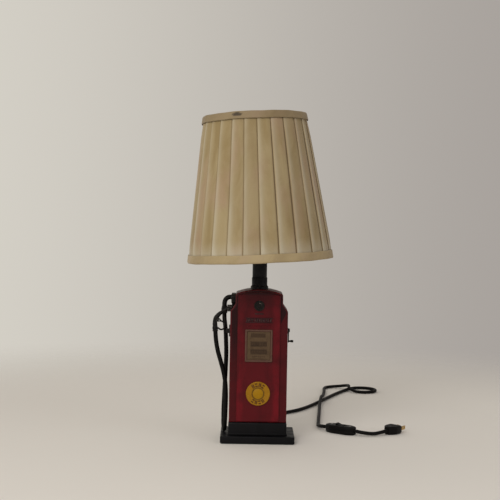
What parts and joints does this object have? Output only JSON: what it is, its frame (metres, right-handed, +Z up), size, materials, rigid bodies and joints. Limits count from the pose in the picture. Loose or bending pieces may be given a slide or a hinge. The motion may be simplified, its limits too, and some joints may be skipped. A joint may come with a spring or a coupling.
{
  "type": "table lamp",
  "caption": "Table lamp shaped as a miniature vintage fuel pump, with hose, nozzle, crank, pleated fabric shade and a mains cord with inline switch.",
  "frame": {"origin": "centre of the felt pad's underside, on the table", "axes": "+Z up through the pump and the lamp pipe; the pump's front with its price window faces -Y; the hose is on the -X side and the crank on the +X side"},
  "size_m": [0.3602, 0.6186, 0.5184],
  "materials": {
    "felt": "matte felt",
    "black_paint": "satin black paint",
    "red_paint": "semi-gloss deep red paint",
    "cream_plate": "aged cream enamel",
    "bar_paint": "dark paint",
    "dark_metal": "blackened casting",
    "yellow_badge": "yellow enamel",
    "steel": "plated steel",
    "brass": "brass-plated",
    "bulb_glass": "frosted glass",
    "shade_fabric": "pleated satin cloth",
    "hose_rubber": "satin rubber",
    "cord_jacket": "black vinyl",
    "switch_plastic": "black moulded plastic"
  },
  "bodies": {
    "root": {"felt_pad": "felt", "base_slab": "black_paint", "base_skirt": "black_paint", "neck_flange": "black_paint", "neck_tube": "black_paint", "cabinet_shell": "red_paint", "rear_cover": "red_paint", "front_panel": "red_paint", "price_bezel": "cream_plate", "price_plate": "cream_plate", "name_bar": "bar_paint", "upper_badge": "dark_metal", "crank_bush": "dark_metal", "outlet_boss": "dark_metal", "outlet_elbow": "dark_metal", "hose_coupling": "dark_metal", "spout_yoke": "dark_metal", "guard_bracket": "dark_metal", "lower_badge": "yellow_badge", "badge_drop": "steel", "base_screw_left": "steel", "base_screw_right": "steel", "cover_screw_1": "steel", "cover_screw_2": "steel", "cover_screw_3": "steel", "cover_screw_4": "steel", "lamp_pipe": "brass", "pipe_nut": "brass", "saddle_nut": "brass", "harp_saddle": "brass", "harp": "brass", "socket_cap": "brass", "socket_shell": "brass", "plug_blade_1": "brass", "plug_blade_2": "brass", "fuel_hose": "hose_rubber", "inner_lead": "cord_jacket", "cord_strain_relief": "cord_jacket", "cord_lead": "cord_jacket", "cord_coil": "cord_jacket", "cord_run": "cord_jacket", "cord_tail": "cord_jacket", "cord_tie": "cord_jacket", "switch_housing": "switch_plastic", "plug_body": "switch_plastic"},
    "crank": {"crank_shaft": "steel", "crank_arm": "dark_metal", "crank_grip": "dark_metal"},
    "nozzle": {"nozzle_body": "dark_metal", "nozzle_guard": "dark_metal", "hose_ferrule": "dark_metal", "trigger_pin": "steel"},
    "trigger": {"nozzle_trigger": "dark_metal"},
    "rocker": {"switch_rocker": "switch_plastic"},
    "shade": {"shade_fabric": "shade_fabric", "shade_top_frame": "steel", "shade_bottom_ring": "steel"},
    "finial": {"finial": "brass"},
    "bulb": {"bulb_base": "steel", "bulb_glass": "bulb_glass"}
  },
  "joints": [
    {"name": "crank_turn", "type": "hinge", "parent": "root", "child": "crank", "pos_m": [0.048, 0, 0.174], "axis": [1, 0, 0], "continuous": true},
    {"name": "nozzle_unhook", "type": "slide", "parent": "root", "child": "nozzle", "axis": [-1, 0, 0], "range_m": [0, 0.018], "deforming": ["fuel_hose"]},
    {"name": "trigger_squeeze", "type": "hinge", "parent": "nozzle", "child": "trigger", "pos_m": [-0.0623, -0.014, 0.1903], "axis": [0, -1, 0], "range_deg": [0, 16], "stiffness_Nm_per_rad": 0.004},
    {"name": "rocker_press", "type": "hinge", "parent": "root", "child": "rocker", "pos_m": [0.138, 0.055, 0.0125], "axis": [-0.5736, -0.8192, 0], "range_deg": [0, 14]},
    {"name": "shade_turn", "type": "hinge", "parent": "root", "child": "shade", "pos_m": [0, 0, 0.295], "axis": [-0.0558, 0, 0.9984], "continuous": true},
    {"name": "finial_turn", "type": "hinge", "parent": "root", "child": "finial", "pos_m": [0, 0, 0.295], "axis": [-0.0558, 0, 0.9984], "continuous": true},
    {"name": "bulb_unscrew", "type": "hinge", "parent": "root", "child": "bulb", "pos_m": [0, 0, 0.34], "axis": [0, 0, 1], "range_deg": [0, 1080]}
  ]
}
